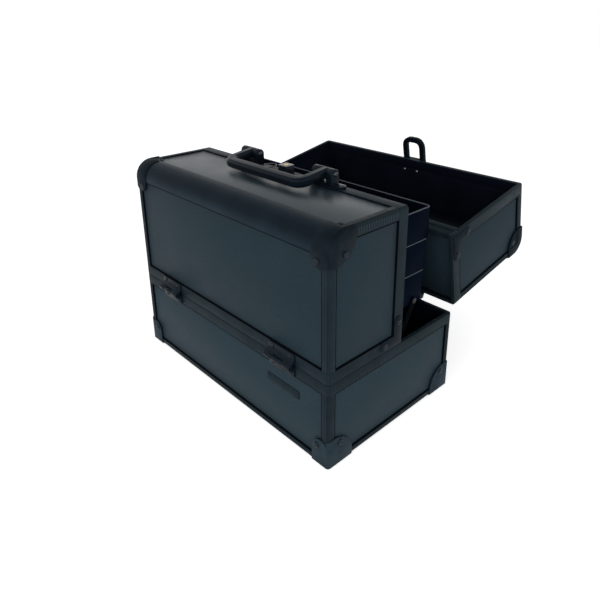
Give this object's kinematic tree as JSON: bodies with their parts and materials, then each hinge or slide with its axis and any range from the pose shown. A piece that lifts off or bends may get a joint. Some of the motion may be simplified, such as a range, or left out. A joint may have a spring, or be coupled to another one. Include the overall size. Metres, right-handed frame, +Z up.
{
  "type": "makeup train case",
  "caption": "Black framed makeup case: box base, hinged front lid, tilt-back rear bin lid with hasp, fan-out trays on swing arms, carry handle and key lock.",
  "frame": {"origin": "centre of the base's underside, on the surface it stands on", "axes": "+X along the case's length, +Y from the front to the back, +Z up"},
  "size_m": [0.371, 0.3914, 0.2913],
  "materials": {
    "panel": "fine pebble-textured black facing",
    "frame": "black anodised satin aluminium profile",
    "pressed_steel": "black lacquered pressed steel",
    "lining": "thin matt black lining board",
    "tray": "smooth satin black moulding",
    "handle": "semi-gloss black moulding",
    "bright": "bright plated steel",
    "brass": "bare brass",
    "plate": "bare gloss black plate"
  },
  "bodies": {
    "base": {"base_bottom_panel": "panel", "base_bottom_rail": "frame", "base_corner_posts": "frame", "base_corner_protectors": "pressed_steel", "base_end_panels": "panel", "base_front_panel": "panel", "base_lining": "lining", "base_rear_panel": "panel", "base_rivets": "pressed_steel", "base_top_rail": "frame", "hinge_pins": "pressed_steel", "lower_hinge_leaves": "pressed_steel", "name_plate": "plate", "tray_arm_studs": "pressed_steel"},
    "front_lid": {"front_lid_bottom_rail": "frame", "front_lid_corner_plates": "pressed_steel", "front_lid_corner_protectors": "pressed_steel", "front_lid_crown_edge": "frame", "front_lid_edge_frames": "frame", "front_lid_end_panels": "panel", "front_lid_front_panel": "panel", "front_lid_lining": "lining", "front_lid_rivets": "pressed_steel", "front_lid_split_rail": "frame", "front_lid_top_panel": "panel", "front_hinge_upper_leaves": "pressed_steel", "handle_brackets": "pressed_steel", "lock_body": "pressed_steel", "lock_plate": "bright", "keys": "bright"},
    "rear_lid": {"rear_lid_bottom_rail": "frame", "rear_lid_corner_plates": "pressed_steel", "rear_lid_corner_protectors": "pressed_steel", "rear_lid_crown_edge": "frame", "rear_lid_edge_frames": "frame", "rear_lid_end_panels": "panel", "rear_lid_floor_panel": "panel", "rear_lid_floor_rail": "frame", "rear_lid_lining": "lining", "rear_lid_rear_panel": "panel", "rear_lid_rivets": "pressed_steel", "rear_lid_split_rail": "frame", "rear_lid_top_panel": "panel", "rear_hinge_upper_leaves": "pressed_steel", "hasp_plate": "pressed_steel"},
    "handle": {"handle": "handle"},
    "lock_cylinder": {"lock_cylinder": "brass"},
    "hasp": {"hasp_loop": "pressed_steel"},
    "base_front_arms": {"base_front_arms": "pressed_steel"},
    "base_rear_arms": {"base_rear_arms": "pressed_steel"},
    "long_fan_arms": {"long_fan_arms": "pressed_steel"},
    "lower_fan_arms": {"lower_fan_arms": "pressed_steel"},
    "upper_fan_arms": {"upper_fan_arms": "pressed_steel"},
    "lower_tray": {"lower_tray": "tray", "lower_tray_rivets": "pressed_steel"},
    "middle_tray": {"middle_tray": "tray", "middle_tray_rivets": "pressed_steel"},
    "upper_tray": {"upper_tray": "tray", "upper_tray_rivets": "pressed_steel"}
  },
  "joints": [
    {"name": "front_lid_hinge", "type": "hinge", "parent": "base", "child": "front_lid", "pos_m": [0, -0.1151, 0.1065], "axis": [1, 0, 0], "range_deg": [0, 79.2]},
    {"name": "rear_lid_hinge", "type": "hinge", "parent": "base", "child": "rear_lid", "pos_m": [0, 0.1151, 0.1065], "axis": [1, 0, 0], "range_deg": [0, 79.2]},
    {"name": "handle_pivot", "type": "hinge", "parent": "front_lid", "child": "handle", "pos_m": [0, 0, 0.2853], "axis": [-1, 0, 0], "range_deg": [0, 95]},
    {"name": "lock_turn", "type": "hinge", "parent": "front_lid", "child": "lock_cylinder", "pos_m": [0, -0.0005, 0.281], "axis": [0, 0, 1], "range_deg": [0, 90]},
    {"name": "hasp_pivot", "type": "hinge", "parent": "rear_lid", "child": "hasp", "pos_m": [0, 0.26388, 0.23862], "axis": [-1, 0, 0], "range_deg": [0, 115]},
    {"name": "base_front_arm_pivot", "type": "hinge", "parent": "base", "child": "base_front_arms", "pos_m": [0, -0.0575, 0.086], "axis": [1, 0, 0], "range_deg": [0, 58.2]},
    {"name": "base_rear_arm_pivot", "type": "hinge", "parent": "base", "child": "base_rear_arms", "pos_m": [0, 0.0095, 0.086], "axis": [1, 0, 0], "range_deg": [0, 58.2]},
    {"name": "lower_tray_pivot", "type": "hinge", "parent": "base_front_arms", "child": "lower_tray", "pos_m": [0, -0.0255, 0.1435], "axis": [1, 0, 0], "range_deg": [-58.2, 0]},
    {"name": "long_fan_arm_pivot", "type": "hinge", "parent": "lower_tray", "child": "long_fan_arms", "pos_m": [0, -0.0325, 0.1575], "axis": [1, 0, 0], "range_deg": [0, 60.01]},
    {"name": "lower_fan_arm_pivot", "type": "hinge", "parent": "lower_tray", "child": "lower_fan_arms", "pos_m": [0, -0.0175, 0.1575], "axis": [1, 0, 0], "range_deg": [0, 60.01]},
    {"name": "middle_tray_pivot", "type": "hinge", "parent": "long_fan_arms", "child": "middle_tray", "pos_m": [0, -0.0105, 0.1956], "axis": [1, 0, 0], "range_deg": [-60.01, 0]},
    {"name": "upper_tray_pivot", "type": "hinge", "parent": "long_fan_arms", "child": "upper_tray", "pos_m": [0, 0.01149, 0.2337], "axis": [1, 0, 0], "range_deg": [-60.01, 0]},
    {"name": "upper_fan_arm_pivot", "type": "hinge", "parent": "middle_tray", "child": "upper_fan_arms", "pos_m": [0, -0.0255, 0.1956], "axis": [1, 0, 0], "range_deg": [0, 60.01]}
  ],
  "couplings": [
    {"joint": "base_front_arm_pivot", "follows": "rear_lid_hinge", "ratio": 0.73477},
    {"joint": "base_rear_arm_pivot", "follows": "rear_lid_hinge", "ratio": 0.73477},
    {"joint": "lower_tray_pivot", "follows": "rear_lid_hinge", "ratio": -0.73477},
    {"joint": "long_fan_arm_pivot", "follows": "front_lid_hinge", "ratio": 0.75758},
    {"joint": "lower_fan_arm_pivot", "follows": "front_lid_hinge", "ratio": 0.75758},
    {"joint": "middle_tray_pivot", "follows": "front_lid_hinge", "ratio": -0.75758},
    {"joint": "upper_tray_pivot", "follows": "front_lid_hinge", "ratio": -0.75758},
    {"joint": "upper_fan_arm_pivot", "follows": "front_lid_hinge", "ratio": 0.75758}
  ]
}
